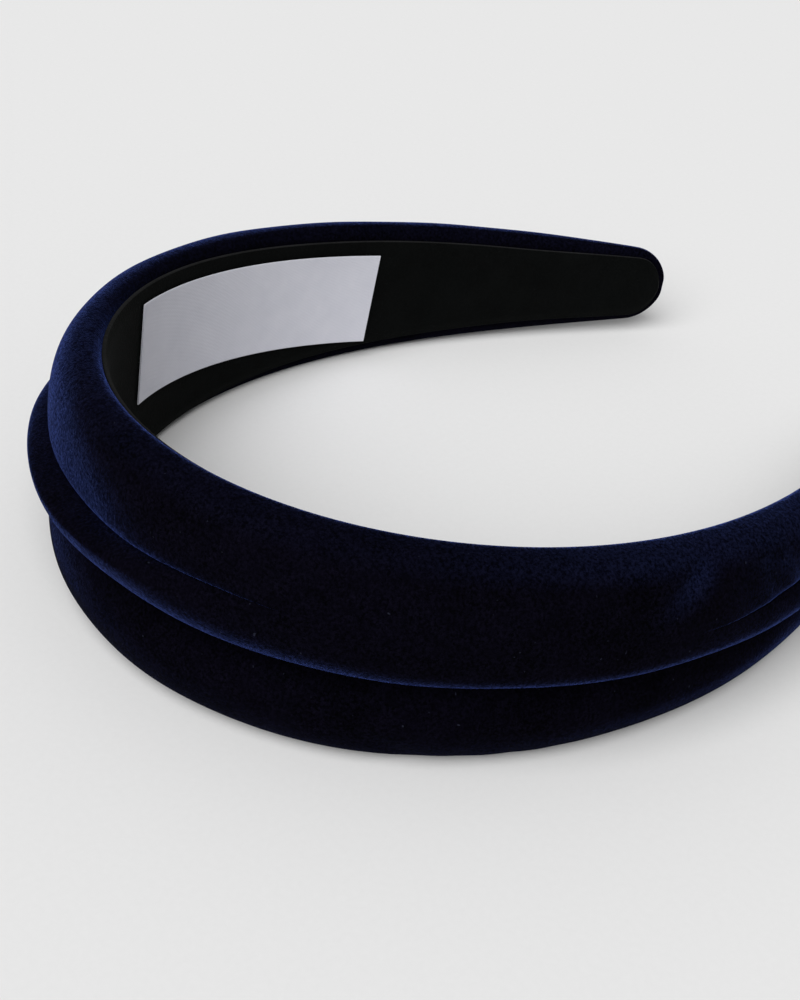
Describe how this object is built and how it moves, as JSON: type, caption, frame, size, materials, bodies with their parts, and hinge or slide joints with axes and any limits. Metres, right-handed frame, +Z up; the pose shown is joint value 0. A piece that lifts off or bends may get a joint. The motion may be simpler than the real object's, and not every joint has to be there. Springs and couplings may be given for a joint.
{
  "type": "padded headband",
  "caption": "Padded velvet headband with overlapping lengthwise folds on a U-shaped moulded band, suede-lined inside, with a blank satin label on one arm.",
  "frame": {"origin": "middle of the box that holds the band, on the surface that the band lies on", "axes": "+Z up from that surface, +Y from the crown towards the two tips, +X from the arm with the label towards the other arm"},
  "size_m": [0.14, 0.167, 0.041],
  "materials": {
    "moulded_plastic": "moulded, matte, hidden inside",
    "foam": "soft open-cell foam, hidden inside",
    "navy_velvet": "short dense pile, almost black seen straight on and blue at the rim",
    "adhesive": "set glue, hidden inside",
    "black_suede": "short-napped synthetic suede with a cut edge",
    "satin_label": "woven satin, pale grey, blank"
  },
  "bodies": {
    "root": {"core_band": "moulded_plastic", "foam_pad_top": "foam", "foam_pad_middle": "foam", "foam_pad_bottom": "foam", "velvet_cover_upper": "navy_velvet", "velvet_cover_lower": "navy_velvet", "lining_adhesive_strip": "adhesive", "suede_lining": "black_suede", "blank_label": "satin_label"}
  },
  "joints": []
}
